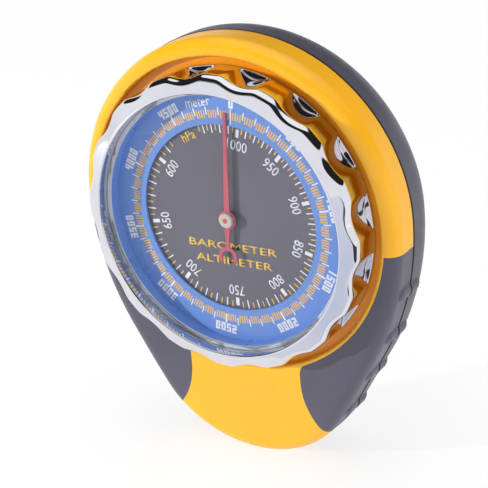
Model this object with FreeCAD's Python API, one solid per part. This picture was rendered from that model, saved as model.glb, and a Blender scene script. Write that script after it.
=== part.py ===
import FreeCAD, Part
import math
import os
from FreeCAD import Vector

# Pocket barometer and altimeter with a turning bezel, in millimetres.
# The origin is on the dial's axis, in the seam between the two housing halves.
# +X is to the right of the dial, +Y runs from the dial to the back, +Z is up.

# Overall sizes
bezel_radius = 30.5
bezel_rise = 8.5
rim_gap = 1.8
rim_width = 3.5
tail_length = 17.6
tail_radius = 24.0
flank_angle = 30.0
front_depth = 7.0
rear_depth = 12.0

# Housing
wall = 2.2
floor_thickness = 1.6
rear_floor_saving = 0.5
recess_depth = 1.9
rim_round = 2.9
lip_round = 0.5
tail_slope_radius = 120.0
rear_overhang = 0.15
seam_groove = 0.35
rear_round = 8.9
gasket_width = 1.0
gasket_height = 0.6
gasket_inset = 0.6

# Grips
grip_thickness = 1.5
grip_lip = 0.8
grip_top = 3.9
grip_corner = 2.5
tongue_half_width = 12.9
tongue_neck_drop = 1.7
tongue_flare_radius = 16.0
rib_count = 4
rib_pitch = 10.1
rib_first = 13.3
rib_radius = 2.2
rib_height = 0.65
rib_half_length = 5.0
rib_seam_gap = 0.15

# Bezel and lens
bezel_bore_radius = 26.9
bezel_ledge_radius = 25.5
bezel_flange_height = 1.25
bezel_face_drop = 0.75
bezel_shoulder = 1.4
bezel_shoulder_width = 1.0
bezel_lip = 0.35
bezel_base_break = 0.3
bezel_floor_gap = 0.15
scoop_count = 16
scoop_phase = 13.5
scoop_radius = 3.95
scoop_depth_base = 1.5
scoop_depth_top = 0.85
scoop_floor = 0.65
lens_thickness = 1.6
lens_drop = 1.1
lens_gasket_height = 0.3
ring_wall = 0.8
ring_thickness = 0.5
ring_bore_radius = 19.4
ring_dial_gap = 0.2
running_gap = 0.05
seat_gap = 0.05

# Collar that carries the bezel
collar_outer_radius = 24.6
collar_wall = 1.6
dial_ledge = 1.4
dial_stand = 0.1
snap_ring_thickness = 0.5
snap_ring_bite = 0.5
snap_ring_stand = 0.6
o_ring_wire = 0.9

# Dial and pointer
dial_thickness = 0.5
dial_depth = 7.6
dial_hole_radius = 1.2
pointer_thickness = 0.3
pointer_lift = 1.0
pointer_reach = 22.0
pointer_root_half_width = 0.65
pointer_tip_half_width = 0.3
pointer_tail = 6.2
pointer_tail_taper = 0.6
crescent_radius = 2.1
crescent_width = 0.75
pointer_boss_radius = 1.95
hub_radius = 1.55
hub_height = 0.7
hub_round = 0.35
arbor_sink = 0.1
pointer_turn = 3.6

# Movement
plate_radius = 25.6
plate_thickness = 1.2
top_plate_radius = 17.0
top_plate_thickness = 0.8
movement_height = 4.0
arbor_radius = 0.5
pivot_gap = 0.05
pillar_radius = 1.4
pillar_ring = 14.5
pillar_angles = (20.0, 150.0, 270.0)
mounting_ring = 23.6
mounting_angles = (90.0, 210.0, 330.0)
boss_radius = 1.8
boss_screw_length = 2.6
pillar_thread = 2.0
window_angle = 215.0
small_screw_radius = 0.7
small_head_radius = 1.3
small_head_height = 0.5

# Gear train: the sector turns a tenth of what the pointer turns
pinion_teeth = 8
sector_full_teeth = 80
sector_cut_teeth = 11
gear_thickness = 0.8
sector_pivot_x = 5.0
sector_pivot_z = 7.45
sector_tail = 6.05
fork_half_gap = 0.5
fork_prong = 0.55
fork_length = 1.6
sector_rim = 1.8
sector_spoke_half_width = 1.1
sector_spoke_overlap = 0.4
sector_boss_radius = 1.7
tooth_root = 1.28
tooth_tip = 0.98
tooth_root_share = 0.235
tooth_tip_share = 0.095
pointer_from_middle = -149.7

# Rocking shaft and capsule
rocker_depth = 8.8
rocker_radius = 0.6
rocker_half_length = 15.2
lift_wire_radius = 0.4
drive_wire_radius = 0.35
drive_reach = 12.6
bracket_thickness = 0.9
bracket_half_width = 2.2
bracket_foot_height = 0.8
bracket_foot_length = 2.4
bracket_clearance = 0.3
slot_half_width = 3.2
slot_half_height = 0.8
capsule_radius = 12.3
capsule_wall = 0.2
capsule_rim = 1.9
capsule_seam = 0.7
cell_height = 2.7
cell_gap = 0.25
capsule_foot = 0.4
capsule_hub_radius = 2.4
capsule_tube_radius = 1.6
capsule_tube_floor = 0.3
capsule_tube_stand = 0.6
capsule_tube_drop = 0.2
corrugation = 0.25
corrugation_count = 3
stud_radius = 0.8
stud_rest_gap = 0.25
stud_gap = 0.22
hairspring_turns = 6
hairspring_inner = 1.35
collet_radius = 1.2
hairspring_outer = 4.6
hairspring_width = 0.12
hairspring_height = 0.5
hairspring_steps = 24
hairspring_gap = 0.3
hairspring_stud_radius = 0.4

# Housing screws, reference screw and vent, all reached from the back
screw_radius = 1.0
screw_head_radius = 1.9
screw_head_height = 1.6
screw_head_sink = 1.2
screw_boss_radius = 2.3
screw_boss_wall = 1.1
screw_grip = 3.4
screw_hole_gap = 0.15
upper_screw_ring = 28.8
upper_screw_angles = (48.0, 132.0)
lower_screw_x = 14.0
lower_screw_above_tail = 15.5
reference_radius = 1.2
reference_head_radius = 1.9
reference_head_stand = 0.6
reference_x = -10.0
reference_z = -18.5
vent_x = 10.0
vent_radius = 2.2
vent_thickness = 1.2
vent_sink = 0.1
slot_width = 0.5

# How far a cutting shape runs past what it cuts
through = 200.0

# Sizes that follow from the ones above
recess_radius = bezel_radius + rim_gap
body_radius = recess_radius + rim_width
tail_reach = body_radius + tail_length
recess_floor = -front_depth + recess_depth
floor_back = recess_floor + floor_thickness
bezel_back = recess_floor - bezel_floor_gap
bezel_front = bezel_back - bezel_rise
bezel_flange_radius = collar_outer_radius + running_gap
collar_bore = collar_outer_radius - collar_wall
dial_front = -dial_depth
dial_back = dial_front + dial_thickness
dial_radius = collar_bore - seat_gap
collar_front = dial_front + dial_stand
ring_front = dial_front - ring_dial_gap - ring_thickness
ring_back = ring_front + ring_thickness
ring_outer_radius = bezel_bore_radius - seat_gap
lens_front = bezel_front + lens_drop
lens_back = lens_front + lens_thickness
lens_gasket_back = lens_back + lens_gasket_height
base_front = -plate_thickness / 2
base_back = plate_thickness / 2
top_plate_back = base_front - movement_height
top_plate_front = top_plate_back - top_plate_thickness
gear_back = base_front - movement_height * 0.45
gear_front = gear_back - gear_thickness
gear_middle = (gear_back + gear_front) / 2
centre_distance = math.hypot(sector_pivot_x, sector_pivot_z)
pinion_pitch_radius = centre_distance * pinion_teeth / (pinion_teeth + sector_full_teeth)
sector_pitch_radius = centre_distance - pinion_pitch_radius
module = 2 * pinion_pitch_radius / pinion_teeth
sector_ratio = -pinion_teeth / sector_full_teeth
sector_from_middle = pointer_from_middle * sector_ratio
fork_z = sector_pivot_z + sector_tail
drive_arm = rocker_depth - gear_middle
rocker_from_middle = sector_from_middle * sector_tail / drive_arm
lift_travel = sector_pivot_x * math.tan(math.radians(rocker_from_middle))
stud_front_of_wire = lift_wire_radius / math.cos(math.radians(rocker_from_middle))
stud_tip = rocker_depth - lift_travel - stud_front_of_wire - stud_gap
rear_floor = rear_depth - wall + rear_floor_saving
pointer_back = dial_front - pointer_lift
pointer_front = pointer_back - pointer_thickness
hub_front = pointer_front - hub_height
tail_z = -tail_reach
tongue_neck_z = -recess_radius - tongue_neck_drop

Y_AXIS = Vector(0, 1, 0)
Z_AXIS = Vector(0, 0, 1)


def post(radius, front, back, x=0.0, z=0.0):
    """A cylinder along Y from front to back."""
    return Part.makeCylinder(radius, back - front, Vector(x, front, z), Y_AXIS)


def tube(outer, inner, front, back, x=0.0, z=0.0):
    return post(outer, front, back, x, z).cut(post(inner, front, back, x, z))


def block(x_low, x_high, front, back, z_low, z_high):
    corner = Vector(x_low, front, z_low)
    return Part.makeBox(x_high - x_low, back - front, z_high - z_low, corner)


def polar(radius, degrees):
    """X and Z of a point at an angle from +X towards +Z."""
    angle = math.radians(degrees)
    return radius * math.cos(angle), radius * math.sin(angle)


def turned(shape, degrees, x=0.0, z=0.0):
    """A copy turned clockwise as the dial is read, about an axis along Y."""
    copy = shape.copy()
    copy.rotate(Vector(x, 0, z), Y_AXIS, degrees)
    return copy


def revolved(points):
    """A solid of revolution about the dial's axis from (radius, y) corners."""
    corners = [Vector(radius, y, 0) for radius, y in points]
    face = Part.Face(Part.makePolygon(corners + corners[:1]))
    return face.revolve(Vector(0, 0, 0), Y_AXIS, 360)


def extruded(corners, front, back):
    """A prism along Y over a closed polygon of (x, z) corners."""
    points = [Vector(x, front, z) for x, z in corners]
    face = Part.Face(Part.makePolygon(points + points[:1]))
    return face.extrude(Vector(0, back - front, 0))


def joined(shapes):
    first, *rest = shapes
    return first.fuse(rest).removeSplitter() if rest else first


def flank_centre():
    """Centre x and radius of the flank arc that meets the body and the tail smoothly."""
    slope = math.radians(flank_angle)
    line = (tail_reach - tail_radius) * math.sin(slope) + tail_radius
    radius = (line - body_radius * math.cos(slope)) / (1 - math.cos(slope))
    return body_radius - radius, radius


def outline(offset):
    """The housing's outline: round above, straight flanks, round tail."""
    centre_x, flank_radius = flank_centre()
    tail_centre = tail_z + tail_radius
    flank = flank_radius + offset
    tail = tail_radius + offset

    def around(x, z, radius, degrees):
        dx, dz = polar(radius, degrees)
        return Vector(x + dx, 0, z + dz)

    body = body_radius + offset
    right = Vector(body, 0, 0)
    left = Vector(-body, 0, 0)
    low = -flank_angle
    right_mid = around(centre_x, 0, flank, low / 2)
    right_end = around(centre_x, 0, flank, low)
    left_mid = around(-centre_x, 0, flank, 180 - low / 2)
    left_end = around(-centre_x, 0, flank, 180 - low)
    tail_right = around(0, tail_centre, tail, low)
    tail_left = around(0, tail_centre, tail, 180 - low)
    tip = Vector(0, 0, tail_z - offset)
    edges = [
        Part.Arc(right, Vector(0, 0, body), left).toShape(),
        Part.Arc(left, left_mid, left_end).toShape(),
        Part.makeLine(left_end, tail_left),
        Part.Arc(tail_left, tip, tail_right).toShape(),
        Part.makeLine(tail_right, right_end),
        Part.Arc(right_end, right_mid, right).toShape(),
    ]
    return Part.Wire(edges)


def slab(offset, front, back):
    """The outline, offset outwards, extruded along Y."""
    face = Part.Face(outline(offset))
    face.translate(Vector(0, front, 0))
    return face.extrude(Vector(0, back - front, 0))


def edges_at(shape, y, radius=None):
    """Edges that lie wholly at one depth, and on one circle where a radius is given."""
    found = []
    for edge in shape.Edges:
        box = edge.BoundBox
        if abs(box.YMin - y) > 0.01 or abs(box.YMax - y) > 0.01:
            continue
        reach = max(math.hypot(v.X, v.Z) for v in edge.Vertexes)
        if radius is None or abs(reach - radius) < 0.05:
            found.append(edge)
    return found


def front_form(inset):
    """The front half's outer form, with its sloping tail and rounded shoulder."""
    top = -front_depth + inset
    solid = slab(-inset, top, 0)
    slope_start = -recess_radius
    drum_radius = tail_slope_radius - inset
    drum_centre = Vector(-100, -front_depth + tail_slope_radius, slope_start)
    drum = Part.makeCylinder(drum_radius, 200, drum_centre, Vector(1, 0, 0))
    waste = block(-100, 100, top - 5, 0, tail_z - 20, slope_start).cut(drum)
    solid = solid.cut(waste)
    shoulder = [edge for edge in solid.Edges if is_shoulder(edge, top)]
    return solid.makeFillet(rim_round - inset, shoulder)


def is_shoulder(edge, top):
    """True for the front edges that run along the outline."""
    box = edge.BoundBox
    if box.YMax > -0.5 or box.YMin < top - 0.01:
        return False
    upright = box.YMax - box.YMin > 0.01 and box.XMax - box.XMin < 0.01
    across = box.ZMax - box.ZMin < 0.01 and box.XMax - box.XMin > body_radius
    return not upright and not across


def grip_area():
    """The right-hand grip's area seen along Y: below the rim lip and beside the tongue."""
    far = 2 * tail_reach
    edge = tongue_half_width
    area = block(edge, far, -far, far, -far, -grip_top)
    flare_centre = edge + tongue_flare_radius
    kept = joined([
        block(edge, far, -far, far, tongue_neck_z, 0),
        block(flare_centre, far, -far, far, -far, 0),
        post(tongue_flare_radius, -far, far, flare_centre, tongue_neck_z),
    ])
    area = area.common(kept).cut(post(recess_radius + grip_lip, -far, far))
    corner_z = -math.sqrt((recess_radius + grip_lip) ** 2 - edge ** 2)
    corner = [e for e in area.Edges if along_y_at(e, edge, corner_z)]
    return area.makeFillet(grip_corner, corner)


def along_y_at(edge, x, z):
    """True for a straight edge along Y through (x, z)."""
    return all(math.hypot(v.X - x, v.Z - z) < 0.01 for v in edge.Vertexes)


def rib_places(offset):
    """(x, z) of each rib's axis along the right flank, below the widest point."""
    centre_x, flank_radius = flank_centre()
    axis_offset = offset + rib_height - rib_radius
    arc_length = flank_radius * math.radians(flank_angle)
    places = []
    for index in range(rib_count):
        along = rib_first + index * rib_pitch
        turn = min(math.degrees(along / flank_radius), flank_angle)
        beyond = max(along - arc_length, 0.0)
        out_x, out_z = polar(1.0, -turn)
        x = centre_x + (flank_radius + axis_offset) * out_x + beyond * out_z
        z = (flank_radius + axis_offset) * out_z - beyond * out_x
        places.append((x, z))
    return places


def ribs(offset, side):
    """Round-ended ribs on one half's flank; side is -1 in front of the seam and 1 behind."""
    round_end = rib_half_length - rib_radius
    solids = []
    for x, z in rib_places(offset):
        near, far = sorted((side * rib_seam_gap, side * round_end))
        end = Part.makeSphere(rib_radius, Vector(x, side * round_end, z))
        solids.append(post(rib_radius, near, far, x, z).fuse(end))
    return solids


def mirrored(shape):
    return shape.mirror(Vector(0, 0, 0), Vector(1, 0, 0))


def screw_places():
    """(x, z) of the four housing screws."""
    upper = [polar(upper_screw_ring, angle) for angle in upper_screw_angles]
    low_z = tail_z + lower_screw_above_tail
    return upper + [(-lower_screw_x, low_z), (lower_screw_x, low_z)]


# Housing

def make_grip():
    """The right-hand grip: a soft skin over the shoulder and flank, with its half ribs."""
    core = front_form(grip_thickness)
    skin = front_form(0).cut(core).common(grip_area())
    grip = joined([skin] + [rib.cut(core) for rib in ribs(0, -1)])
    return grip.cut(gasket_ring())


def make_front_body(form, skins):
    """Yellow half: rim, recess for the bezel, collar, tail, and bosses behind the floor."""
    body = form
    for skin in skins:
        body = body.cut(skin)
    body = body.cut(post(recess_radius, -2 * front_depth, recess_floor))
    lip = edges_at(body, -front_depth, recess_radius)
    body = body.makeFillet(lip_round, lip)
    body = body.cut(slab(-wall, floor_back, 1))
    collar = post(collar_outer_radius, collar_front, floor_back)
    body = joined([body, collar])
    body = body.cut(post(collar_bore - dial_ledge, collar_front - 1, 1))
    body = body.cut(post(collar_bore, collar_front - 1, dial_back))
    body = body.cut(snap_ring_groove()).cut(o_ring_groove())
    bosses = [post(screw_boss_radius, floor_back, 0, x, z) for x, z in screw_places()]
    for angle in mounting_angles:
        x, z = polar(mounting_ring, angle)
        bosses.append(post(boss_radius, floor_back, base_front, x, z))
    body = joined([body] + bosses)
    for x, z in screw_places():
        body = body.cut(post(screw_radius, -screw_grip, 1, x, z))
    for angle in mounting_angles:
        x, z = polar(mounting_ring, angle)
        body = body.cut(post(small_screw_radius, base_front - boss_screw_length, 1, x, z))
    return body.cut(gasket_ring())


def make_rear_housing():
    """Grey half: flat back, rounded edge, half ribs, screw bosses, vent and adjuster holes."""
    body = slab(rear_overhang, seam_groove, rear_depth)
    body = body.makeFillet(rear_round, edges_at(body, rear_depth))
    body = joined([body, slab(-seam_groove, 0, seam_groove)] + rear_ribs())
    hollow = slab(rear_overhang - wall, -1, rear_floor)
    hollow = hollow.makeFillet(rear_round - wall, edges_at(hollow, rear_floor))
    body = body.cut(hollow)
    outer = screw_head_radius + screw_boss_wall
    body = joined([body] + [post(outer, 0, rear_floor, x, z) for x, z in screw_places()])
    head_seat = rear_depth - screw_head_sink - screw_head_height
    for x, z in screw_places():
        body = body.cut(post(screw_radius + screw_hole_gap, -1, rear_depth + 1, x, z))
        body = body.cut(post(screw_head_radius + screw_hole_gap, head_seat, rear_depth + 1, x, z))
    bore = reference_head_radius + screw_hole_gap
    body = body.cut(post(bore, rear_floor - 1, rear_depth + 1, reference_x, reference_z))
    body = body.cut(post(vent_radius, rear_depth - vent_thickness, rear_depth + 1, vent_x, reference_z))
    body = body.cut(post(vent_radius / 2, rear_floor - 1, rear_depth, vent_x, reference_z))
    return body.cut(gasket_ring())


def rear_ribs():
    right = ribs(rear_overhang, 1)
    return right + [mirrored(rib) for rib in right]


def gasket_ring():
    """The seal between the halves, half in each."""
    half = gasket_height / 2
    outer = slab(-gasket_inset, -half, half)
    return outer.cut(slab(-gasket_inset - gasket_width, -half - 1, half + 1))


def slotted_screw(head_radius, head_height, radius, tip, seat):
    """A round-headed screw along Y, its head behind the seat, with a driver slot."""
    back = seat + head_height
    screw = post(head_radius, seat, back).fuse(post(radius, tip, seat))
    slot = block(-slot_width / 2, slot_width / 2, back - head_height / 2, back + 1, -5, 5)
    return screw.removeSplitter().cut(slot)


def moved(shape, x, z):
    copy = shape.copy()
    copy.translate(Vector(x, 0, z))
    return copy


def make_housing_screw():
    seat = rear_depth - screw_head_sink - screw_head_height
    return slotted_screw(screw_head_radius, screw_head_height, screw_radius, -screw_grip, seat)


def make_reference_screw():
    """Adjuster that carries the reference pressure setting into the movement."""
    seat = rear_floor - reference_head_stand
    return slotted_screw(reference_head_radius, screw_head_height, reference_radius, base_front, seat)


# Bezel

def snap_ring_front():
    return bezel_back - bezel_flange_height - running_gap - snap_ring_thickness


def snap_ring_groove():
    front = snap_ring_front()
    inner = collar_outer_radius - snap_ring_bite
    return tube(collar_outer_radius + 1, inner, front, front + snap_ring_thickness)


def make_snap_ring():
    """Split spring ring that holds the bezel on its collar."""
    front = snap_ring_front()
    outer = collar_outer_radius + snap_ring_stand
    ring = tube(outer, collar_outer_radius - snap_ring_bite, front, front + snap_ring_thickness)
    return ring.cut(block(-1, 1, front - 1, front + 1, -outer - 1, 0))


def o_ring_middle():
    return bezel_back - bezel_flange_height / 2


def o_ring_groove():
    middle = o_ring_middle()
    inner = collar_outer_radius - o_ring_wire
    half = o_ring_wire / 2
    return tube(collar_outer_radius + 1, inner, middle - half, middle + half)


def make_o_ring():
    radius = collar_outer_radius - o_ring_wire / 2
    return Part.makeTorus(radius, o_ring_wire / 2, Vector(0, o_ring_middle(), 0), Y_AXIS)


def make_bezel():
    """Chrome ring: conical face, plain bore, flange over the collar and finger scoops."""
    flange_front = bezel_back - bezel_flange_height
    face_foot = bezel_front + bezel_face_drop
    body = revolved([
        (bezel_flange_radius, bezel_back),
        (bezel_radius - bezel_base_break, bezel_back),
        (bezel_radius, bezel_back - bezel_base_break),
        (bezel_radius, face_foot + bezel_shoulder),
        (bezel_radius - bezel_shoulder_width, face_foot),
        (bezel_bore_radius + bezel_lip, bezel_front),
        (bezel_bore_radius, bezel_front + bezel_lip),
        (bezel_bore_radius, ring_back),
        (bezel_ledge_radius, ring_back),
        (bezel_ledge_radius, flange_front),
        (bezel_flange_radius, flange_front),
    ])
    base = Vector(0, bezel_back, bezel_radius - scoop_depth_base + scoop_radius)
    top = Vector(0, bezel_front, bezel_radius - scoop_depth_top + scoop_radius)
    lean = top - base
    cutter = Part.makeCylinder(scoop_radius, 2 * lean.Length, base, lean)
    reach = bezel_radius + 2 * scoop_radius
    cutter = cutter.cut(post(reach, bezel_back - scoop_floor, bezel_back + scoop_radius))
    for index in range(scoop_count):
        body = body.cut(turned(cutter, scoop_phase + index * 360.0 / scoop_count))
    return body


def make_altitude_ring():
    """Blue scale ring with the upright wall that carries the lens."""
    inner = ring_outer_radius - ring_wall
    return revolved([
        (ring_bore_radius, ring_back),
        (ring_outer_radius, ring_back),
        (ring_outer_radius, lens_gasket_back),
        (inner, lens_gasket_back),
        (inner, ring_front),
        (ring_bore_radius, ring_front),
    ])


# Dial and pointer

def make_pointer():
    """Tapered hand with a short tail that ends in a crescent open at the bottom."""
    crescent_z = -pointer_tail - crescent_radius + crescent_width / 2
    arm = extruded([
        (-pointer_root_half_width, 0),
        (pointer_root_half_width, 0),
        (pointer_tip_half_width, pointer_reach),
        (-pointer_tip_half_width, pointer_reach),
    ], pointer_front, pointer_back)
    tail = extruded([
        (-pointer_root_half_width, 0),
        (-pointer_tail_taper * pointer_root_half_width, -pointer_tail),
        (pointer_tail_taper * pointer_root_half_width, -pointer_tail),
        (pointer_root_half_width, 0),
    ], pointer_front, pointer_back)
    inner = crescent_radius - crescent_width
    crescent = tube(crescent_radius, inner, pointer_front, pointer_back, 0, crescent_z)
    mouth = block(-inner, inner, pointer_front - 1, pointer_back + 1, crescent_z - 5, crescent_z - inner / 2)
    hub = post(pointer_boss_radius, pointer_front, pointer_back)
    hand = joined([arm, tail, crescent.cut(mouth), hub])
    return hand.cut(post(arbor_radius, pointer_front - 1, pointer_back + 1))


def make_hub():
    """Domed cap over the hand's boss."""
    cap = post(hub_radius, hub_front, pointer_front)
    cap = cap.makeFillet(hub_round, edges_at(cap, hub_front))
    return cap.cut(post(arbor_radius, hub_front - 1, pointer_front + 1))


# Movement

def make_base_plate():
    """Brass plate that carries the train in front and the capsule behind."""
    plate = post(plate_radius, base_front, base_back)
    holes = [
        post(arbor_radius + pivot_gap, -through, through),
        post(arbor_radius + pivot_gap, -through, through, sector_pivot_x, sector_pivot_z),
        post(reference_radius + pivot_gap, -through, through, reference_x, reference_z),
        block(
            sector_pivot_x - slot_half_width, sector_pivot_x + slot_half_width,
            -through, through, fork_z - slot_half_height, fork_z + slot_half_height,
        ),
    ]
    for angle in mounting_angles:
        x, z = polar(mounting_ring, angle)
        holes.append(post(small_screw_radius, -through, through, x, z))
    for hole in holes:
        plate = plate.cut(hole)
    return plate


def make_top_plate():
    plate = post(top_plate_radius, top_plate_front, top_plate_back)
    plate = plate.cut(post(arbor_radius + pivot_gap, -through, through))
    plate = plate.cut(post(arbor_radius + pivot_gap, -through, through, sector_pivot_x, sector_pivot_z))
    window_x, window_z = polar(top_plate_radius / 2, window_angle)
    plate = plate.cut(post(top_plate_radius / 4, -through, through, window_x, window_z))
    for angle in pillar_angles:
        x, z = polar(pillar_ring, angle)
        plate = plate.cut(post(small_screw_radius, -through, through, x, z))
    return plate


def make_pillar():
    pillar = post(pillar_radius, top_plate_back, base_front)
    return pillar.cut(post(small_screw_radius, -through, top_plate_back + pillar_thread))


def make_pillar_screw():
    """Screw with its head in front of the top plate."""
    head = post(small_head_radius, top_plate_front - small_head_height, top_plate_front)
    head = head.fuse(post(small_screw_radius, top_plate_front, top_plate_back + pillar_thread))
    front = top_plate_front - small_head_height
    slot = block(-slot_width / 2, slot_width / 2, front - 1, front + small_head_height / 2, -5, 5)
    return head.removeSplitter().cut(slot)


def make_mounting_screw():
    tip = base_front - boss_screw_length
    return slotted_screw(small_head_radius, small_head_height, small_screw_radius, tip, base_back)


def gear_corners(pitch_radius, count, pitch_angle, first_angle):
    """Tooth corners (x, z), anticlockwise from the first tooth's centre angle."""
    pitch_length = math.pi * module
    root = pitch_radius - tooth_root * module
    tip = pitch_radius + tooth_tip * module
    root_half = math.degrees(tooth_root_share * pitch_length / root)
    tip_half = math.degrees(tooth_tip_share * pitch_length / tip)
    corners = []
    for index in range(count):
        centre = first_angle + index * pitch_angle
        corners.append(polar(root, centre - root_half))
        corners.append(polar(tip, centre - tip_half))
        corners.append(polar(tip, centre + tip_half))
        corners.append(polar(root, centre + root_half))
    return corners


def make_pinion():
    """Pinion on the hand's arbor, with a tooth gap on the line of centres in the middle pose."""
    towards_sector = math.degrees(math.atan2(sector_pivot_z, sector_pivot_x))
    step = 360.0 / pinion_teeth
    corners = gear_corners(pinion_pitch_radius, pinion_teeth, step, towards_sector + step / 2)
    overlap = gear_thickness / 4
    body = extruded(corners, gear_front - overlap, gear_back + overlap)
    body = body.cut(post(arbor_radius, -through, through))
    return turned(body, pointer_from_middle)


def make_sector():
    """Toothed sector with a forked tail, turned from its middle pose to the resting one."""
    towards_pinion = math.degrees(math.atan2(-sector_pivot_z, -sector_pivot_x))
    step = 360.0 / sector_full_teeth
    first = towards_pinion - step * (sector_cut_teeth - 1) / 2
    teeth = gear_corners(sector_pitch_radius, sector_cut_teeth, step, first)
    inner = sector_pitch_radius - sector_rim
    half_span = step * sector_cut_teeth / 2
    back_edge = [
        polar(inner, towards_pinion + half_span * (1 - index / 4.0)) for index in range(9)
    ]
    rim = extruded(teeth + back_edge, gear_front, gear_back)
    spoke_x, spoke_z = polar(inner + sector_spoke_overlap, towards_pinion)
    side_x, side_z = polar(sector_spoke_half_width, towards_pinion + 90)
    spoke = extruded([
        (side_x, side_z),
        (-side_x, -side_z),
        (spoke_x - side_x, spoke_z - side_z),
        (spoke_x + side_x, spoke_z + side_z),
    ], gear_front, gear_back)
    half_width = fork_half_gap + fork_prong
    tail = block(-half_width, half_width, gear_front, gear_back, 0, sector_tail + fork_length / 2)
    gap_start = sector_tail - fork_length
    tail = tail.cut(block(-fork_half_gap, fork_half_gap, -through, through, gap_start, through))
    body = joined([rim, spoke, tail, post(sector_boss_radius, gear_front, gear_back)])
    body = body.cut(post(arbor_radius, -through, through))
    return turned(moved(body, sector_pivot_x, sector_pivot_z), sector_from_middle, sector_pivot_x, sector_pivot_z)


def make_hairspring():
    """Flat spiral strip between the collet and its stud."""
    steps = hairspring_turns * hairspring_steps
    step = 360.0 / hairspring_steps
    growth = (hairspring_outer - hairspring_inner) / steps
    half = hairspring_width / 2
    inner = [polar(hairspring_inner + growth * i - half, step * i) for i in range(steps + 1)]
    outer = [polar(hairspring_inner + growth * i + half, step * i) for i in range(steps + 1)]
    front = hairspring_front()
    return extruded(inner + outer[::-1], front, front + hairspring_height)


def hairspring_front():
    return top_plate_back + hairspring_gap


def make_hairspring_stud():
    back = hairspring_front() + hairspring_height
    x = hairspring_outer + hairspring_width / 2 + hairspring_stud_radius
    return post(hairspring_stud_radius, top_plate_back, back, x)


# Capsule

def diaphragm(middle, side):
    """One corrugated half of a capsule cell; side is -1 for the front half and 1 for the back."""
    rise = cell_height / 2 - corrugation
    flat_end = capsule_radius - capsule_rim
    outer = [(0, rise + corrugation), (capsule_hub_radius, rise + corrugation)]
    steps = corrugation_count * 8
    for index in range(1, steps):
        share = index / steps
        radius = capsule_hub_radius + share * (flat_end - capsule_hub_radius)
        wave = corrugation * math.cos(2 * math.pi * corrugation_count * share)
        outer.append((radius, rise + wave))
    outer += [(flat_end, rise), (capsule_radius - capsule_seam, capsule_wall), (capsule_radius, capsule_wall)]
    inner = [(radius, height - capsule_wall) for radius, height in outer]
    return revolved([(radius, middle + side * height) for radius, height in outer + inner[::-1]])


def cell_middles():
    first = base_back + capsule_foot + cell_height / 2
    return first, first + cell_height + cell_gap


def make_capsule_foot():
    return post(capsule_hub_radius, base_back, base_back + capsule_foot)


def make_capsule_spacer():
    first, second = cell_middles()
    return post(capsule_hub_radius, first + cell_height / 2, second - cell_height / 2)


def make_capsule_tube():
    """Guide tube in the rear cell's centre, in which the stud rises."""
    back = cell_middles()[1] + cell_height / 2
    body = post(capsule_tube_radius, tube_floor() - capsule_tube_floor, back + capsule_tube_stand)
    return body.cut(post(stud_radius + running_gap, tube_floor(), back + 1))


def tube_floor():
    return cell_middles()[1] - capsule_tube_drop


# Rocking shaft

def rocked(shape):
    """Turned from the middle pose to the resting one about the rocking shaft."""
    copy = shape.copy()
    copy.rotate(Vector(sector_pivot_x, rocker_depth, 0), Z_AXIS, rocker_from_middle)
    return copy


def make_rocker_shaft():
    start = Vector(sector_pivot_x, rocker_depth, -rocker_half_length)
    return Part.makeCylinder(rocker_radius, 2 * rocker_half_length, start, Z_AXIS)


def make_lift_arm():
    """Wire from the shaft over the capsule's stud."""
    start = Vector(sector_pivot_x, rocker_depth, 0)
    wire = Part.makeCylinder(lift_wire_radius, sector_pivot_x + stud_radius, start, Vector(-1, 0, 0))
    return rocked(wire.cut(make_rocker_shaft()))


def make_drive_arm():
    """Wire from the shaft through the base plate into the sector's fork."""
    start = Vector(sector_pivot_x, rocker_depth, fork_z)
    wire = Part.makeCylinder(drive_wire_radius, drive_reach, start, Vector(0, -1, 0))
    return rocked(wire.cut(make_rocker_shaft()))


def make_bracket():
    """Upper bearing bracket of the rocking shaft; the lower one is its mirror image."""
    low = rocker_half_length - bracket_thickness
    x_low = sector_pivot_x - bracket_half_width
    x_high = sector_pivot_x + bracket_half_width
    back = rear_floor - bracket_clearance
    upright = block(x_low, x_high, base_back, back, low, rocker_half_length)
    foot_back = base_back + bracket_foot_height
    foot_end = rocker_half_length + bracket_foot_length
    foot = block(x_low, x_high, base_back, foot_back, rocker_half_length, foot_end)
    hole_start = Vector(sector_pivot_x, rocker_depth, 0)
    hole = Part.makeCylinder(rocker_radius + pivot_gap, 2 * rocker_half_length, hole_start, Z_AXIS)
    return joined([upright, foot]).cut(hole)


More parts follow.
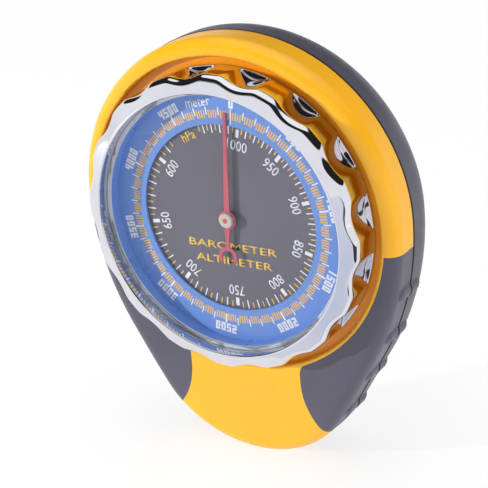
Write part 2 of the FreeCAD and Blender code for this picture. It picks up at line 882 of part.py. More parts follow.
def build():
    """Every sub-part by name."""
    form = front_form(0)
    grip_skin = form.cut(front_form(grip_thickness)).common(grip_area())
    grip = make_grip()
    nodes = {
        "front_body": make_front_body(form, [grip_skin, mirrored(grip_skin)]),
        "right_grip": grip,
        "left_grip": mirrored(grip),
        "rear_housing": make_rear_housing(),
        "seam_gasket": gasket_ring(),
        "bezel": make_bezel(),
        "bezel_snap_ring": make_snap_ring(),
        "bezel_o_ring": make_o_ring(),
        "altitude_ring": make_altitude_ring(),
        "lens": post(bezel_bore_radius - seat_gap, lens_front, lens_back),
        "lens_gasket": tube(
            bezel_bore_radius - seat_gap, ring_outer_radius - ring_wall,
            lens_back, lens_gasket_back,
        ),
        "dial_plate": tube(dial_radius, dial_hole_radius, dial_front, dial_back),
        "pointer": turned(make_pointer(), pointer_turn),
        "pointer_hub": make_hub(),
        "pointer_arbor": post(arbor_radius, hub_front + arbor_sink, base_back),
        "pinion": make_pinion(),
        "hairspring_collet": tube(
            collet_radius, arbor_radius,
            hairspring_front(), hairspring_front() + hairspring_height,
        ),
        "hairspring": make_hairspring(),
        "hairspring_stud": make_hairspring_stud(),
        "sector_gear": make_sector(),
        "sector_arbor": post(
            arbor_radius, top_plate_front, base_back, sector_pivot_x, sector_pivot_z,
        ),
        "base_plate": make_base_plate(),
        "top_plate": make_top_plate(),
        "rocker_shaft": make_rocker_shaft(),
        "lift_arm": make_lift_arm(),
        "drive_arm": make_drive_arm(),
        "rocker_bracket_upper": make_bracket(),
        "rocker_bracket_lower": make_bracket().mirror(Vector(0, 0, 0), Z_AXIS),
        "capsule_foot": make_capsule_foot(),
        "capsule_spacer": make_capsule_spacer(),
        "capsule_tube": make_capsule_tube(),
        "capsule_stud": post(stud_radius, tube_floor() + stud_rest_gap, stud_tip),
        "reference_screw": moved(make_reference_screw(), reference_x, reference_z),
        "vent_disc": post(
            vent_radius, rear_depth - vent_thickness, rear_depth - vent_sink, vent_x, reference_z,
        ),
    }
    number = 0
    for middle in cell_middles():
        for side in (-1, 1):
            number += 1
            nodes[f"diaphragm_{number}"] = diaphragm(middle, side)
    tube_hole = post(capsule_tube_radius, 0, rear_depth)
    nodes["diaphragm_4"] = nodes["diaphragm_4"].cut(tube_hole)
    for index, angle in enumerate(pillar_angles, start=1):
        x, z = polar(pillar_ring, angle)
        nodes[f"pillar_{index}"] = moved(make_pillar(), x, z)
        nodes[f"pillar_screw_{index}"] = moved(make_pillar_screw(), x, z)
    for index, angle in enumerate(mounting_angles, start=1):
        x, z = polar(mounting_ring, angle)
        nodes[f"movement_screw_{index}"] = moved(make_mounting_screw(), x, z)
    for index, (x, z) in enumerate(screw_places(), start=1):
        nodes[f"housing_screw_{index}"] = moved(make_housing_screw(), x, z)
    return nodes


os.makedirs("parts", exist_ok=True)
for name, shape in build().items():
    shape.exportStep(f"parts/{name}.step")
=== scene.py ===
import math

import bmesh
import bpy
from mathutils import Matrix, Vector


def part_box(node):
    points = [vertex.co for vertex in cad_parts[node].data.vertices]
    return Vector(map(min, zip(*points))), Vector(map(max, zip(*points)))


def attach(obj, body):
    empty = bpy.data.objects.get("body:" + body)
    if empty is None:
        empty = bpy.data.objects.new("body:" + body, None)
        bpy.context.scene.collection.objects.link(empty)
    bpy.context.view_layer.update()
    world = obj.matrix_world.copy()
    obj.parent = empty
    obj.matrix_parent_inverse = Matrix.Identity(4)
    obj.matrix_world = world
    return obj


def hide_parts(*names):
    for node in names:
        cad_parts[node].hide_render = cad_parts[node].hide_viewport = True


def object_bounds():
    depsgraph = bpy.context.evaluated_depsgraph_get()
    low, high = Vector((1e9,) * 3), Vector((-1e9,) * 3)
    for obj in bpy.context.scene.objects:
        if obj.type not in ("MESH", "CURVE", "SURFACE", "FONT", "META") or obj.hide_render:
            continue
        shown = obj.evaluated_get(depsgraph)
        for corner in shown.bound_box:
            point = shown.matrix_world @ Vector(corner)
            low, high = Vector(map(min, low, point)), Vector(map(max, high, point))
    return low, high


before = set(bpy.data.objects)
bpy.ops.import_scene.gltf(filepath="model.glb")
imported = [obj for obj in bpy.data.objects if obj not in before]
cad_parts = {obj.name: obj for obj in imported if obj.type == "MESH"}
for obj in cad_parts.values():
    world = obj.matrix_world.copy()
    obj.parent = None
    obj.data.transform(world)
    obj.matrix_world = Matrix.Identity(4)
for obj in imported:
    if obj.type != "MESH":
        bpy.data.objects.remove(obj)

# Camera: a long lens in front of the dial, above it and to its right, tilted a little.
# It stands about 0.32 m from the dial, and nothing in the view is out of focus.
camera_place = Vector((0.1587, -0.2530, 0.1130))
camera_right = Vector((0.8577, 0.5085, -0.0764))
camera_up = Vector((-0.1317, 0.3609, 0.9233))
camera_data = bpy.data.cameras.new("camera")
camera_data.lens = 118.0
camera_data.sensor_width = 36.0
camera_data.clip_start = 0.01
camera = bpy.data.objects.new("camera", camera_data)
bpy.context.scene.collection.objects.link(camera)
camera_back = camera_right.cross(camera_up)
camera.matrix_world = Matrix.Translation(camera_place) @ Matrix(
    (camera_right, camera_up, camera_back)).transposed().to_4x4()
bpy.context.scene.camera = camera
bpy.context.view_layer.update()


# Rear half of the case: a dark grey injection-moulded shell with a fine spark-eroded grain.
# It closes the back, carries half of each finger rib, and is held by four screws.
mm = 0.001
grey_moulding = (0.076, 0.072, 0.100)


def shade(name):
    """A new material, its node tree, its shader and the piece's own coordinates."""
    material = bpy.data.materials.new(name)
    material.use_nodes = True
    tree = material.node_tree
    shader = tree.nodes["Principled BSDF"]
    place = tree.nodes.new("ShaderNodeTexCoord").outputs["Object"]
    return material, tree, shader, place


def grain(tree, place, size, detail=3.0, stretch=None):
    """Noise with cells of about the given size in metres, drawn out along one axis if asked."""
    noise = tree.nodes.new("ShaderNodeTexNoise")
    noise.inputs["Scale"].default_value = 1.0 / size
    noise.inputs["Detail"].default_value = detail
    if stretch:
        mapping = tree.nodes.new("ShaderNodeMapping")
        mapping.inputs["Scale"].default_value = stretch
        tree.links.new(place, mapping.inputs["Vector"])
        place = mapping.outputs["Vector"]
    tree.links.new(place, noise.inputs["Vector"])
    return noise.outputs["Fac"]


def spread(tree, factor, low, high, start=0.3, end=0.7):
    """The factor's middle part spread over a range of numbers or colours."""
    if isinstance(low, tuple):
        ramp = tree.nodes.new("ShaderNodeValToRGB")
        for element, where, colour in zip(ramp.color_ramp.elements, (start, end), (low, high)):
            element.position = where
            element.color = (*colour, 1.0)
        tree.links.new(factor, ramp.inputs["Fac"])
        return ramp.outputs["Color"]
    remap = tree.nodes.new("ShaderNodeMapRange")
    for socket, value in zip(("From Min", "From Max", "To Min", "To Max"),
                             (start, end, low, high)):
        remap.inputs[socket].default_value = value
    tree.links.new(factor, remap.inputs["Value"])
    return remap.outputs["Result"]


def relief(tree, shader, layers):
    """Bump from several (factor, depth in metres, strength) layers, one on the next."""
    normal = None
    for factor, depth, strength in layers:
        bump = tree.nodes.new("ShaderNodeBump")
        bump.inputs["Distance"].default_value = depth
        bump.inputs["Strength"].default_value = strength
        tree.links.new(factor, bump.inputs["Height"])
        if normal:
            tree.links.new(normal, bump.inputs["Normal"])
        normal = bump.outputs["Normal"]
    tree.links.new(normal, shader.inputs["Normal"])


def moulded(name, colour, roughness, grain_size, grain_depth):
    """Moulded plastic: slow colour drift, rubbed patches, a fine even grain and faint scuffs."""
    material, tree, shader, place = shade(name)
    drift = grain(tree, place, 14 * mm)
    darker = tuple(0.93 * part for part in colour)
    tree.links.new(spread(tree, drift, darker, colour), shader.inputs["Base Color"])
    rubbed = grain(tree, place, 5 * mm, 6.0)
    tree.links.new(spread(tree, rubbed, roughness - 0.05, roughness + 0.06),
                   shader.inputs["Roughness"])
    fine = grain(tree, place, grain_size, 2.0)
    scuff = grain(tree, place, 0.5 * mm, 2.0, (0.15, 1.0, 1.0))
    relief(tree, shader, [(fine, grain_depth, 0.5), (scuff, 0.004 * mm, 0.3)])
    shader.inputs["IOR"].default_value = 1.5
    return material


def skin(name, node, body, material, crease=32.0):
    """A welded and smooth-shaded copy of a CAD node, which it stands for."""
    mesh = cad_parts[node].data.copy()
    mesh.name = name
    for layer in ("custom_normal", "sharp_edge", "sharp_face"):
        if layer in mesh.attributes:
            mesh.attributes.remove(mesh.attributes[layer])
    form = bmesh.new()
    form.from_mesh(mesh)
    bmesh.ops.remove_doubles(form, verts=form.verts, dist=0.002 * mm)
    for face in form.faces:
        face.smooth = True
    for edge in form.edges:
        if edge.is_manifold:
            edge.smooth = edge.calc_face_angle() < math.radians(crease)
    form.to_mesh(mesh)
    form.free()
    mesh.materials.clear()
    mesh.materials.append(material)
    piece = bpy.data.objects.new(name, mesh)
    bpy.context.scene.collection.objects.link(piece)
    weigh = piece.modifiers.new("even_shading", "WEIGHTED_NORMAL")
    weigh.keep_sharp = True
    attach(piece, body)
    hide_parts(node)
    return piece


grey_shell = moulded("grey_shell", grey_moulding, 0.42, 0.22 * mm, 0.012 * mm)
skin("case_rear", "rear_housing", "housing", grey_shell)


# Front half of the case: bright yellow moulding, smooth and satin, with the recess for the ring.
# Its rim, recess and tail are one piece, and the collar behind the ring is part of it.
# Inside the recess the yellow is deepened to orange by painted shade, standing in for the shade and
# yellow light the walls cast on each other.
yellow_moulding = (0.97, 0.475, 0.012)
painted_recess_shade = (1.0, 0.74, 0.25, 1.0)
painted_shade_fade = (32.3 * mm, 32.6 * mm)
yellow_shell = moulded("yellow_shell", yellow_moulding, 0.34, 0.3 * mm, 0.004 * mm)
yellow_tree = yellow_shell.node_tree
yellow_shader = yellow_tree.nodes["Principled BSDF"]
flattened = yellow_tree.nodes.new("ShaderNodeVectorMath")
flattened.operation = "MULTIPLY"
flattened.inputs[1].default_value = (1.0, 0.0, 1.0)
from_axis = yellow_tree.nodes.new("ShaderNodeVectorMath")
from_axis.operation = "LENGTH"
painted_recess_shading = yellow_tree.nodes.new("ShaderNodeMix")
painted_recess_shading.data_type = "RGBA"
painted_recess_shading.blend_type = "MULTIPLY"
painted_recess_shading.inputs["B"].default_value = painted_recess_shade
plain_yellow = yellow_shader.inputs["Base Color"].links[0].from_socket
yellow_place = yellow_tree.nodes["Texture Coordinate"].outputs["Object"]
yellow_tree.links.new(yellow_place, flattened.inputs[0])
yellow_tree.links.new(flattened.outputs["Vector"], from_axis.inputs[0])
# Painted shade: within the recess's radius the base colour is multiplied by the orange tone, fading
# out over 0.3 mm.
painted_shade_mask = spread(yellow_tree, from_axis.outputs["Value"], 1.0, 0.0, *painted_shade_fade)
yellow_tree.links.new(painted_shade_mask, painted_recess_shading.inputs["Factor"])
yellow_tree.links.new(plain_yellow, painted_recess_shading.inputs["A"])
yellow_tree.links.new(painted_recess_shading.outputs["Result"], yellow_shader.inputs["Base Color"])
yellow_shader.inputs["Subsurface Weight"].default_value = 0.12
yellow_shader.inputs["Subsurface Radius"].default_value = (1.2 * mm, 0.6 * mm, 0.1 * mm)
yellow_shader.inputs["Subsurface Scale"].default_value = 1.0
skin("case_front", "front_body", "housing", yellow_shell)


# Grips: two soft dark rubber panels moulded over the front half's flanks, ribbed for the fingers.
# Their skin is matt and takes fine scratches and dust.
grip_rubber = (0.083, 0.079, 0.115)
grip = moulded("grip", grip_rubber, 0.5, 0.16 * mm, 0.014 * mm)
grip_shader = grip.node_tree.nodes["Principled BSDF"]
grip_shader.inputs["Sheen Weight"].default_value = 0.12
grip_shader.inputs["Sheen Roughness"].default_value = 0.5
skin("grip_right", "right_grip", "housing", grip)
skin("grip_left", "left_grip", "housing", grip)


# Seals: black nitrile in the seam and round the collar, and pale silicone under the lens's edge.
# They are pressed into place, and are matt with a very fine grain.
def wear(node, material):
    """Gives a CAD node that keeps its own shape its finish."""
    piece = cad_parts[node]
    if piece.material_slots:
        for place in piece.material_slots:
            place.material = material
    else:
        piece.data.materials.append(material)


seal = moulded("seal", (0.022, 0.022, 0.026), 0.6, 0.12 * mm, 0.008 * mm)
for node in ("seam_gasket", "bezel_o_ring"):
    wear(node, seal)
lens_seal = moulded("lens_seal", (0.66, 0.70, 0.78), 0.4, 0.12 * mm, 0.004 * mm)
wear("lens_gasket", lens_seal)


# Screws: blackened self-tapping steel, four in the back of the case and six in the movement.
# The movement's pillars and the adjuster, which trims the reading, are brass.
# A white vent disc lets the air in.
def machined(name, colour, roughness, stretch=None):
    """Machined or drawn metal: tool marks, a slight stain and duller patches."""
    material, tree, shader, place = shade(name)
    stain = grain(tree, place, 3 * mm, 4.0)
    darker = tuple(0.82 * part for part in colour)
    tree.links.new(spread(tree, stain, darker, colour), shader.inputs["Base Color"])
    marks = grain(tree, place, 0.25 * mm, 3.0, stretch)
    tree.links.new(spread(tree, marks, roughness - 0.07, roughness + 0.1),
                   shader.inputs["Roughness"])
    relief(tree, shader, [(marks, 0.004 * mm, 0.4)])
    shader.inputs["Metallic"].default_value = 1.0
    return material


screw_steel = machined("screw_steel", (0.20, 0.20, 0.21), 0.38)
brass = machined("brass", (0.83, 0.58, 0.25), 0.3, (1.0, 0.12, 1.0))
for number in (1, 2, 3, 4):
    skin(f"case_screw_{number}", f"housing_screw_{number}", "housing", screw_steel)
for number in (1, 2, 3):
    wear(f"movement_screw_{number}", screw_steel)
    wear(f"pillar_screw_{number}", screw_steel)
    wear(f"pillar_{number}", brass)
skin("trim_screw", "reference_screw", "adjuster", brass)
vent = moulded("vent", (0.75, 0.75, 0.72), 0.8, 0.08 * mm, 0.01 * mm)
wear("vent_disc", vent)


# Movement: stamped brass plates and wheels, steel arms and shafts, and a blued spring.
# The two cells behind it are corrugated copper-beryllium, and drive it as the air changes.
# The split ring that holds the bezel on is of the same blued steel as the spring.
capsule_metal = machined("capsule_metal", (0.72, 0.60, 0.48), 0.3)
steel = machined("steel", (0.62, 0.62, 0.63), 0.28)
spring_steel = machined("spring_steel", (0.16, 0.20, 0.34), 0.25)
for node in ("base_plate", "top_plate", "sector_gear", "pinion", "hairspring_collet",
             "rocker_bracket_upper", "rocker_bracket_lower", "hairspring_stud"):
    wear(node, brass)
for node in ("sector_arbor", "rocker_shaft", "lift_arm", "drive_arm", "capsule_stud"):
    wear(node, steel)
for node in ("capsule_foot", "capsule_spacer", "capsule_tube", "diaphragm_1", "diaphragm_2",
             "diaphragm_3", "diaphragm_4"):
    wear(node, capsule_metal)
for node in ("hairspring", "bezel_snap_ring"):
    wear(node, spring_steel)


# Dial plate: thin aluminium disc, anodised dark grey, screen-printed with the pressure scale.
# Marks stand at the pressures of the standard air, so they open out towards the low end.
dial_grey = moulded("dial_grey", (0.150, 0.143, 0.178), 0.6, 0.1 * mm, 0.004 * mm)
wear("dial_plate", dial_grey)
dial_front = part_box("dial_plate")[0].y
ink_depth = 0.03 * mm
degrees_per_metre = 0.072
sea_level_angle = 2.0
lowest_mark, highest_mark = 580, 1045
# Each kind of mark: its inner radius, its outer radius and its width.
five_mark = (18.0 * mm, 19.25 * mm, 0.24 * mm)
ten_mark = (17.5 * mm, 19.35 * mm, 0.26 * mm)
fifty_mark = (17.15 * mm, 18.8 * mm, 0.75 * mm)
number_radius = 15.5 * mm
number_height = 2.15 * mm
figure_width, thousand_figure_width = 1.18, 1.12
thousand_aside = 0.8
word_height = 1.6 * mm


def ink(name, colour):
    """Screen ink: opaque, satin, slightly uneven where the mesh laid it down."""
    material, tree, shader, place = shade(name)
    patch = grain(tree, place, 0.6 * mm, 4.0)
    thinner = tuple(0.86 * part for part in colour)
    tree.links.new(spread(tree, patch, thinner, colour), shader.inputs["Base Color"])
    shader.inputs["Roughness"].default_value = 0.45
    relief(tree, shader, [(patch, 0.004 * mm, 0.4)])
    return material


def pressure_angle(pressure):
    """Degrees clockwise from the top at which a pressure stands."""
    height = 44330.8 * (1 - (pressure / 1013.25) ** 0.190263)
    return sea_level_angle + degrees_per_metre * height


def on_dial(radius, degrees, depth):
    """Right, outward and facing axes of a mark at a radius and an angle, read as on a clock."""
    turn = math.radians(degrees)
    right = Vector((math.cos(turn), 0, -math.sin(turn)))
    out = Vector((math.sin(turn), 0, math.cos(turn)))
    facing = Vector((0, -1, 0))
    axes = Matrix((right, out, facing)).transposed().to_4x4()
    return Matrix.Translation(out * radius + Vector((0, depth, 0))) @ axes


def ticks(form, angles, inner, outer, width, depth):
    """Straight marks from one radius to another, one at each angle."""
    for degrees in angles:
        size = Matrix.Diagonal((width, outer - inner, 1, 1))
        bmesh.ops.create_grid(form, x_segments=1, y_segments=1, size=0.5,
                              matrix=on_dial((inner + outer) / 2, degrees, depth) @ size)


def lettering(form, words, degrees, radius, height, width, depth, bold=0.0):
    """Plain letters or figures of a given height and width, with their tops towards the angle."""
    curve = bpy.data.curves.new("words", "FONT")
    curve.body = words
    curve.offset = bold
    curve.resolution_u = 3
    holder = bpy.data.objects.new("words", curve)
    bpy.context.scene.collection.objects.link(holder)
    bpy.context.view_layer.update()
    mesh = bpy.data.meshes.new_from_object(holder)
    bpy.data.objects.remove(holder)
    xs = [vertex.co.x for vertex in mesh.vertices]
    ys = [vertex.co.y for vertex in mesh.vertices]
    middle = Vector(((min(xs) + max(xs)) / 2, (min(ys) + max(ys)) / 2, 0))
    size = Matrix.Diagonal((width / (max(xs) - min(xs)), height / (max(ys) - min(ys)), 1, 1))
    mesh.transform(on_dial(radius, degrees, depth) @ size @ Matrix.Translation(-middle))
    form.from_mesh(mesh)


def made_of(name, form, material):
    """An object of its own from a finished form, in one material."""
    mesh = bpy.data.meshes.new(name)
    form.to_mesh(mesh)
    form.free()
    mesh.materials.append(material)
    piece = bpy.data.objects.new(name, mesh)
    bpy.context.scene.collection.objects.link(piece)
    return piece


def print_on(name, form, body, material):
    """Gives flat marks the thickness of the ink, rising towards the reader."""
    for face in form.faces:
        face.normal_update()
        if face.normal.y > 0:
            face.normal_flip()
    raised = bmesh.ops.extrude_face_region(form, geom=form.faces[:])
    tops = [item for item in raised["geom"] if isinstance(item, bmesh.types.BMVert)]
    bmesh.ops.translate(form, verts=tops, vec=Vector((0, -ink_depth, 0)))
    bmesh.ops.recalc_face_normals(form, faces=form.faces)
    piece = made_of(name, form, material)
    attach(piece, body)


ink_white = ink("ink_white", (0.88, 0.89, 0.92))
ink_orange = ink("ink_orange", (0.93, 0.56, 0.12))
ink_yellow = ink("ink_yellow", (0.98, 0.64, 0.10))
white_marks = bmesh.new()
tens = [p for p in range(lowest_mark + 10, highest_mark, 10) if p % 50]
ticks(white_marks, [pressure_angle(p) for p in tens], *ten_mark, dial_front)
fifties = range(600, 1001, 50)
ticks(white_marks, [pressure_angle(p) for p in fifties], *fifty_mark, dial_front)
for pressure in fifties:
    each = figure_width if pressure < 1000 else thousand_figure_width
    aside = 0 if pressure < 1000 else thousand_aside
    lettering(white_marks, str(pressure), pressure_angle(pressure) + aside, number_radius,
              number_height, each * len(str(pressure)) * mm, dial_front, bold=0.009)
print_on("pressure_print_white", white_marks, "housing", ink_white)
orange_marks = bmesh.new()
fives = range(lowest_mark + 5, highest_mark + 1, 10)
ticks(orange_marks, [pressure_angle(p) for p in fives], *five_mark, dial_front)
print_on("pressure_print_orange", orange_marks, "housing", ink_orange)
yellow_words = bmesh.new()
unit_angle = (pressure_angle(lowest_mark) - 360 + pressure_angle(highest_mark)) / 2
lettering(yellow_words, "hPa", unit_angle, radius=18.0 * mm, height=2.0 * mm,
          width=3.3 * mm, depth=dial_front, bold=0.004)
for word, radius, width in (("BAROMETER", -6.2 * mm, 20.3 * mm), ("ALTIMETER", -9.3 * mm, 17.7 * mm)):
    lettering(yellow_words, word, 0, radius, word_height, width, dial_front, bold=0.012)
print_on("dial_words", yellow_words, "housing", ink_yellow)


# Hand: thin stamped sheet painted red, with a crescent tail, pressed on its boss.
# A cream cap covers the boss, and the end of the arbor, also red, shows in its middle.
hand_red = moulded("hand_red", (0.56, 0.11, 0.15), 0.35, 0.2 * mm, 0.003 * mm)
hub_cream = moulded("hub_cream", (0.56, 0.53, 0.47), 0.42, 0.2 * mm, 0.003 * mm)


def soften(piece, radius):
    """Rounds a piece's sharp edges, under its even shading."""
    round_off = piece.modifiers.new("rounded_edges", "BEVEL")
    round_off.width = radius
    round_off.segments = 3
    round_off.limit_method = "ANGLE"
    round_off.angle_limit = math.radians(40)
    round_off.harden_normals = False
    piece.modifiers.move(1, 0)


soften(skin("hand", "pointer", "hand", hand_red), 0.06 * mm)
soften(skin("hand_cap", "pointer_hub", "hand", hub_cream), 0.15 * mm)
wear("pointer_arbor", hand_red)


# Altitude ring: a blue plastic ring with an upright wall, turning with the bezel, screen-printed.
# A thousand metres of height take a fifth of a turn, and every hundred has a white mark.
altitude_blue = moulded("altitude_blue", (0.150, 0.300, 0.72), 0.3, 0.2 * mm, 0.002 * mm)
skin("height_ring", "altitude_ring", "bezel", altitude_blue)
ring_thickness = 0.5 * mm
ring_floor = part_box("altitude_ring")[1].y - ring_thickness
zero_angle = 6.5
hundred_step = 7.2
twenty_step = 1.44
label_step = 36
# Each kind of mark again: inner radius, outer radius, width.
twenty_mark = (20.7 * mm, 22.3 * mm, 0.3 * mm)
hundred_mark = (21.3 * mm, 22.9 * mm, 0.26 * mm)
five_hundred_mark = (20.9 * mm, 22.9 * mm, 0.4 * mm)
zero_mark = (19.6 * mm, 22.9 * mm, 0.3 * mm)
label_radius = 23.95 * mm
stroke = 0.42 * mm
figure_high = 1.9 * mm
figure_wide = 1.02 * mm
figure_step = 1.28 * mm


def block_figure(form, digit, place):
    """A squared figure made of straight bars that meet end to end.

    t, h and b are the level bars, L, I and R stand in the upper half, and l, i and r in the lower.
    """
    bars = {"0": "tbLRlr", "1": "Ii", "2": "tRhlb", "3": "tRhrb", "4": "LRhr", "5": "tLhrb"}[digit]
    half, side = figure_high / 2, (figure_wide - stroke) / 2
    inside = stroke / 2 if "h" in bars else 0
    for bar in bars:
        if bar in "thb":
            size = (figure_wide, stroke)
            spot = (0, (half - stroke / 2) * "bht".index(bar) - (half - stroke / 2))
        else:
            end = half - stroke if ("t" if bar.isupper() else "b") in bars else half
            size = (stroke, end - inside)
            middle = (end + inside) / 2 * (1 if bar.isupper() else -1)
            spot = (side * ("LIR".index(bar.upper()) - 1), middle)
        fit = Matrix.Translation((*spot, 0)) @ Matrix.Diagonal((*size, 1, 1))
        bmesh.ops.create_grid(form, x_segments=1, y_segments=1, size=0.5, matrix=place @ fit)


white_heights = bmesh.new()
hundreds = [zero_angle + hundred_step * step for step in range(50)]
plain = [angle for step, angle in enumerate(hundreds) if step % 5]
ticks(white_heights, plain, *hundred_mark, ring_floor)
ticks(white_heights, hundreds[5::5], *five_hundred_mark, ring_floor)
ticks(white_heights, hundreds[:1], *zero_mark, ring_floor)
for step in range(10):
    metres = str(500 * step)
    for position, digit in enumerate(metres):
        aside = (position - (len(metres) - 1) / 2) * figure_step
        label = on_dial(label_radius, zero_angle + label_step * step, ring_floor)
        block_figure(white_heights, digit, label @ Matrix.Translation((aside, 0, 0)))
lettering(white_heights, "meter", -11.5, radius=23.9 * mm, height=1.75 * mm,
          width=5.8 * mm, depth=ring_floor, bold=0.014)
print_on("height_print_white", white_heights, "bezel", ink_white)
orange_heights = bmesh.new()
twenties = [zero_angle + twenty_step * step for step in range(250) if step % 5]
ticks(orange_heights, twenties, *twenty_mark, ring_floor)
print_on("height_print_orange", orange_heights, "bezel", ink_orange)


# Lens: clear acrylic disc, flat both sides, held between the ring's wall and the bezel's lip.
# It is polished, and nearly all the light goes straight through it, so it shows as a faint gloss.
lens_material, lens_tree, lens_shader, lens_place = shade("lens")
lens_shader.inputs["Base Color"].default_value = (0.10, 0.12, 0.14, 1.0)
lens_shader.inputs["Alpha"].default_value = 0.06
lens_shader.inputs["IOR"].default_value = 1.49
lens_haze = grain(lens_tree, lens_place, 8 * mm, 3.0)
lens_tree.links.new(spread(lens_tree, lens_haze, 0.0, 0.02), lens_shader.inputs["Roughness"])
wear("lens", lens_material)
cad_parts["lens"].visible_shadow = False


# Bezel: die-cast ring, polished and chromed, with a conical face and sixteen finger scoops.
# Each scoop is deeper and more tightly curved at its foot, and ends on a small ledge there.
# A split spring ring holds it on the collar, where it turns.
bezel_low, bezel_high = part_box("bezel")
bezel_radius = bezel_high.x
bezel_front = bezel_low.y
bezel_back = bezel_high.y
bore_radius = 26.9 * mm
lip = 0.35 * mm
face_slope = 0.327
shoulder = 1.5 * mm
scoops = 16
first_scoop = 13.5
scoop_foot_radius = 3.95 * mm
scoop_head_radius = 6.6 * mm
scoop_foot_depth = 1.5 * mm
scoop_head_depth = 0.65 * mm
ledge_height = 0.65 * mm
ledge_fillet = 0.3 * mm
blend_width = 1.5 * mm
steps_per_scoop = 28
flange_radius = 24.65 * mm
flange_height = 1.25 * mm
snap_room_radius = 25.5 * mm
base_round = 0.3 * mm
ledge_rim = 0.18 * mm
full_ledge_depth = 1.2 * mm
crest_row_gap = 0.02 * mm
crest_drop = 20 * crest_row_gap
flank_steps = 12
face_steps = 6
bezel_crease = 50


def scoop_depth(turn, y):
    """How far the outer wall stands in from the full radius, with its edges blended."""
    pitch = 2 * math.pi / scoops
    off = (turn - math.radians(first_scoop) + pitch / 2) % pitch - pitch / 2
    share = (y - bezel_front) / (bezel_back - bezel_front)
    depth = scoop_head_depth + (scoop_foot_depth - scoop_head_depth) * share
    scoop_radius = scoop_head_radius + (scoop_foot_radius - scoop_head_radius) * share
    centre = bezel_radius - depth + scoop_radius
    side = centre * math.sin(abs(off))
    if side >= scoop_radius:
        return 0.0
    wall = centre * math.cos(off) - math.sqrt(scoop_radius ** 2 - side ** 2)
    near = max(blend_width - abs(bezel_radius - wall), 0.0) / blend_width
    return bezel_radius - min(bezel_radius, wall) + near * near * blend_width / 4


def arc(count, start, end):
    """Angles in radians, in equal steps between two angles in degrees, both ends included."""
    return [math.radians(start + (end - start) * step / count) for step in range(count + 1)]


ring_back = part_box("altitude_ring")[1].y
ledge_y = bezel_back - ledge_height
flank_foot = ledge_y - ledge_fillet
tilt = math.atan(face_slope)
apex_y = bezel_front + face_slope * (bezel_radius - bore_radius - lip)
shoulder_run = shoulder * math.tan((math.pi / 2 - tilt) / 2)
flank_head = apex_y + shoulder_run
face_edge = bezel_radius - shoulder_run * math.cos(tilt)
rows = [("still", flange_radius, bezel_back), ("still", bezel_radius - base_round, bezel_back)]
rows += [("still", bezel_radius - base_round + base_round * math.sin(a),
          bezel_back - base_round + base_round * math.cos(a)) for a in arc(3, 15, 90)]
rows += [("edge", ledge_rim * (1 - math.cos(a)), ledge_rim * (1 - math.sin(a)))
         for a in arc(3, 0, 90)]
rows += [("ledge", share, 0.0) for share in (0.2, 0.4, 0.6, 0.8, 1.0)]
rows += [("fillet", 1 - math.sin(a), 1 - math.cos(a)) for a in arc(6, 10, 90)]
rows += [("flank", step / flank_steps, 0.0) for step in range(1, flank_steps + 1)]
rows += [("shoulder", math.sin(a), math.cos(a)) for a in arc(10, 83, math.degrees(tilt))]
rows += [("face", step / face_steps, 0.0) for step in range(1, face_steps + 1)]
rows += [("still", bore_radius + lip - lip * math.sin(a), bezel_front + lip - lip * math.cos(a))
         for a in arc(6, 10, 90)]
rows += [("still", bore_radius, ring_back), ("still", snap_room_radius, ring_back),
         ("still", snap_room_radius, bezel_back - flange_height),
         ("still", flange_radius, bezel_back - flange_height)]


def row_place(row, index, turn):
    """Radius and depth of a row of the skin at one angle; ledge rows close up on a crest."""
    kind, first, second = row
    if kind == "still":
        return first, second
    foot = scoop_depth(turn, ledge_y)
    head = scoop_depth(turn, flank_head)
    presence = min(foot / full_ledge_depth, 1.0)
    presence = presence * presence * (3 - 2 * presence)
    crest_y = ledge_y - crest_row_gap * (index - first_ledge_row)
    if kind == "edge":
        return (bezel_radius - first * presence, ledge_y + second * presence
                + (crest_y - ledge_y) * (1 - presence))
    if kind == "ledge":
        rim = ledge_rim * presence
        width = max(foot - rim - ledge_fillet * presence, 0.0)
        return bezel_radius - rim - width * first, ledge_y * presence + crest_y * (1 - presence)
    if kind == "fillet":
        y = (ledge_y - ledge_fillet * second) * presence + crest_y * (1 - presence)
        wall = bezel_radius - scoop_depth(turn, min(y, ledge_y))
        return wall + ledge_fillet * first * presence, y
    if kind == "flank":
        low = flank_foot * presence + (ledge_y - crest_drop) * (1 - presence)
        high = flank_head - face_slope * head
        y = low + (high - low) * first
        return bezel_radius - scoop_depth(turn, y), y
    if kind == "shoulder":
        centre = bezel_radius - shoulder
        return (centre + shoulder * first - head,
                flank_head - shoulder * second - face_slope * head)
    radius = (face_edge - head) + (bore_radius + lip - face_edge + head) * first
    return radius, bezel_front + face_slope * (radius - bore_radius - lip)


first_ledge_row = [row[0] for row in rows].index("edge")
bezel_form = bmesh.new()
row_mark = bezel_form.verts.layers.int.new("row")
loop = []
for index, row in enumerate(rows):
    radius, depth = row_place(row, index, math.radians(first_scoop))
    vertex = bezel_form.verts.new((0, depth, radius))
    vertex[row_mark] = index
    loop.append(vertex)
edges = [bezel_form.edges.new((a, b)) for a, b in zip(loop, loop[1:] + loop[:1])]
bmesh.ops.spin(bezel_form, geom=loop + edges, axis=Vector((0, 1, 0)), cent=Vector((0, 0, 0)),
               angle=2 * math.pi, steps=scoops * steps_per_scoop, use_merge=True,
               use_duplicate=False, space=Matrix.Identity(4))
for vertex in bezel_form.verts:
    turn = math.atan2(vertex.co.x, vertex.co.z)
    radius, depth = row_place(rows[vertex[row_mark]], vertex[row_mark], turn)
    vertex.co = Vector((radius * math.sin(turn), depth, radius * math.cos(turn)))
bmesh.ops.remove_doubles(bezel_form, verts=bezel_form.verts, dist=0.0005 * mm)
bmesh.ops.recalc_face_normals(bezel_form, faces=bezel_form.faces)
for face in bezel_form.faces:
    face.smooth = True
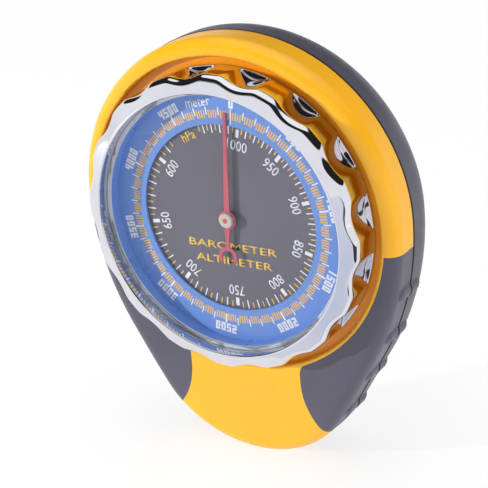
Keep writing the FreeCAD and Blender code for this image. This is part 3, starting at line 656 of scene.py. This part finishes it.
for edge in bezel_form.edges:
    if edge.is_manifold:
        edge.smooth = edge.calc_face_angle() < math.radians(bezel_crease)
chrome, chrome_tree, chrome_shader, chrome_place = shade("bezel_chrome")
chrome_shader.inputs["Metallic"].default_value = 1.0
chrome_tint = grain(chrome_tree, chrome_place, 10 * mm)
chrome_tree.links.new(spread(chrome_tree, chrome_tint, (0.70, 0.70, 0.76), (0.76, 0.76, 0.81)),
                      chrome_shader.inputs["Base Color"])
chrome_hairline = grain(chrome_tree, chrome_place, 0.2 * mm, 3.0, (1.0, 0.2, 1.0))
chrome_tree.links.new(spread(chrome_tree, chrome_hairline, 0.03, 0.07),
                      chrome_shader.inputs["Roughness"])
relief(chrome_tree, chrome_shader, [(chrome_hairline, 0.0004 * mm, 0.3)])
bezel_ring = made_of("bezel_ring", bezel_form, chrome)
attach(bezel_ring, "bezel")
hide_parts("bezel")


# Stage: a pale floor that the tail touches, a key light from the left, softer ones above and right,
# and a white tent. A dark band runs round the tent, and a striped card that only reflections show
# lies on the floor, so that the chrome has something dark to show.
scene = bpy.context.scene
scene.view_settings.view_transform = "Standard"
floor_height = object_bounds()[0][2]
floor_reach = 3.0
floor_form = bmesh.new()
bmesh.ops.create_grid(floor_form, x_segments=1, y_segments=1, size=floor_reach,
                      matrix=Matrix.Translation((0, 0, floor_height)))
floor_paint, _, floor_shader, _ = shade("floor")
floor_shader.inputs["Base Color"].default_value = (0.22, 0.22, 0.22, 1.0)
floor_shader.inputs["Roughness"].default_value = 0.9
floor_shader.inputs["Emission Color"].default_value = (1.0, 1.0, 1.0, 1.0)
floor_shader.inputs["Emission Strength"].default_value = 0.8
made_of("floor", floor_form, floor_paint)

card_middle = Vector((0.06, -0.23, floor_height + 0.5 * mm))
card_size = Matrix.Diagonal((0.20, 0.40, 1, 1))
stripes_span = (-0.03, 0.13)
card_form = bmesh.new()
bmesh.ops.create_grid(card_form, x_segments=1, y_segments=1, size=0.5,
                      matrix=Matrix.Translation(card_middle) @ card_size)
card_paint, card_tree, card_shader, card_place = shade("card")
card_split = card_tree.nodes.new("ShaderNodeSeparateXYZ")
card_tree.links.new(card_place, card_split.inputs["Vector"])
card_tone = spread(card_tree, card_split.outputs["X"], 0.0, 1.0, *stripes_span)
card_stripes = card_tree.nodes.new("ShaderNodeValToRGB")
stripes = card_stripes.color_ramp
stripes.elements[0].color = (1.0, 1.0, 1.0, 1.0)
stripes.elements[1].color = (0.02, 0.02, 0.02, 1.0)
for where, colour in ((0.35, (0.66, 0.70, 0.82)), (0.70, (0.80, 0.82, 0.90)),
                      (0.75, (0.02, 0.02, 0.02))):
    stripes.elements.new(where).color = (*colour, 1.0)
card_tree.links.new(card_tone, card_stripes.inputs["Fac"])
card_tree.links.new(card_stripes.outputs["Color"], card_shader.inputs["Emission Color"])
card_shader.inputs["Emission Strength"].default_value = 1.0
card_shader.inputs["Base Color"].default_value = (0.0, 0.0, 0.0, 1.0)
card = made_of("card", card_form, card_paint)
card.visible_camera = False
card.visible_diffuse = False
card.visible_transmission = False
card.visible_shadow = False

world = bpy.data.worlds.new("tent")
scene.world = world
world.use_nodes = True
sky = world.node_tree
sky_place = sky.nodes.new("ShaderNodeTexCoord").outputs["Generated"]
sky_split = sky.nodes.new("ShaderNodeSeparateXYZ")
sky.links.new(sky_place, sky_split.inputs["Vector"])
sky_bands = sky.nodes.new("ShaderNodeValToRGB")
bands = sky_bands.color_ramp
bands.elements[0].position = 0.0
bands.elements[0].color = (1.0, 1.0, 1.02, 1.0)
bands.elements[1].position = 0.26
bands.elements[1].color = (1.0, 1.0, 1.02, 1.0)
for where, level in ((0.30, 0.02), (0.77, 0.02), (0.81, 1.15), (1.0, 1.15)):
    element = bands.elements.new(where)
    element.color = (level, level, level, 1.0)
sky.links.new(sky_split.outputs["Z"], sky_bands.inputs["Fac"])
sky.links.new(sky_bands.outputs["Color"], sky.nodes["Background"].inputs["Color"])
sky.nodes["Background"].inputs["Strength"].default_value = 1.0


def lamp(name, place, size, power):
    """A square light aimed at the dial, which no reflection shows."""
    data = bpy.data.lights.new(name, "AREA")
    data.size = size
    data.energy = power
    light = bpy.data.objects.new(name, data)
    scene.collection.objects.link(light)
    aim = (-Vector(place)).to_track_quat("-Z", "Y")
    light.matrix_world = Matrix.Translation(place) @ aim.to_matrix().to_4x4()
    light.visible_glossy = False


lamp("key", (-0.56, -0.46, 0.12), 0.016, 4.0)
lamp("top", (0.1, -0.1, 0.9), 0.6, 2.2)
lamp("side", (0.8, -0.15, -0.02), 0.3, 3.0)
